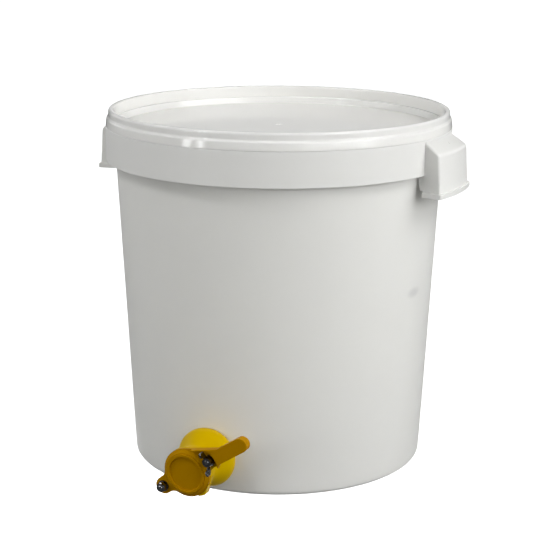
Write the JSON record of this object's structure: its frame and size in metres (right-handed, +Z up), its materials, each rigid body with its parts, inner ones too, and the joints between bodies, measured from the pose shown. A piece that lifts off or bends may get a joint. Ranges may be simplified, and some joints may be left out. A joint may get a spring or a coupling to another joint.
{
  "type": "honey settling tank",
  "caption": "Tapered plastic tank with a clip-on lid, hollow carrying ears and a swing-gate valve near its base, for settling and bottling honey.",
  "frame": {"origin": "centre of the base, on the surface that the tank stands on", "axes": "+Z up, the valve faces -Y, the two carrying ears are on the X axis"},
  "size_m": [0.4418, 0.4401, 0.4074],
  "materials": {
    "tank_plastic": "satin moulded polypropylene, off-white",
    "lid_plastic": "glossy moulded polypropylene, off-white",
    "valve_plastic": "glossy moulded nylon, yellow",
    "seal_rubber": "matt black rubber",
    "fastener_steel": "bright stainless steel",
    "nylon": "natural nylon"
  },
  "bodies": {
    "tank": {"tank": "tank_plastic", "valve_body": "valve_plastic", "outer_seal": "seal_rubber", "inner_seal": "seal_rubber", "back_nut": "valve_plastic", "gate_seal": "seal_rubber", "pivot_bolt": "fastener_steel", "clamp_bolt": "fastener_steel", "pivot_washer": "fastener_steel", "pivot_nut": "fastener_steel", "pivot_nut_collar": "nylon"},
    "lid": {"lid": "lid_plastic"},
    "gate": {"gate": "valve_plastic"},
    "clamp": {"clamp_washer": "fastener_steel"},
    "wing_nut": {"wing_nut": "fastener_steel"}
  },
  "joints": [
    {"name": "lid_lift", "type": "slide", "parent": "tank", "child": "lid", "axis": [0, 0, 1], "range_m": [0, 0.3]},
    {"name": "gate_swing", "type": "hinge", "parent": "tank", "child": "gate", "pos_m": [-0.02926, -0.17063, 0.02242], "axis": [0, -0.9987, -0.0502], "range_deg": [0, 100]},
    {"name": "clamp_slack", "type": "slide", "parent": "tank", "child": "clamp", "axis": [0, -0.9987, -0.0502], "range_m": [0, 0.003]},
    {"name": "wing_nut_turn", "type": "hinge", "parent": "clamp", "child": "wing_nut", "pos_m": [0.02926, -0.17265, 0.06258], "axis": [0, -0.9987, -0.0502], "range_deg": [0, 1080]}
  ],
  "couplings": [
    {"joint": "clamp_slack", "follows": "wing_nut_turn", "m_per_rad": 0.00015915}
  ]
}
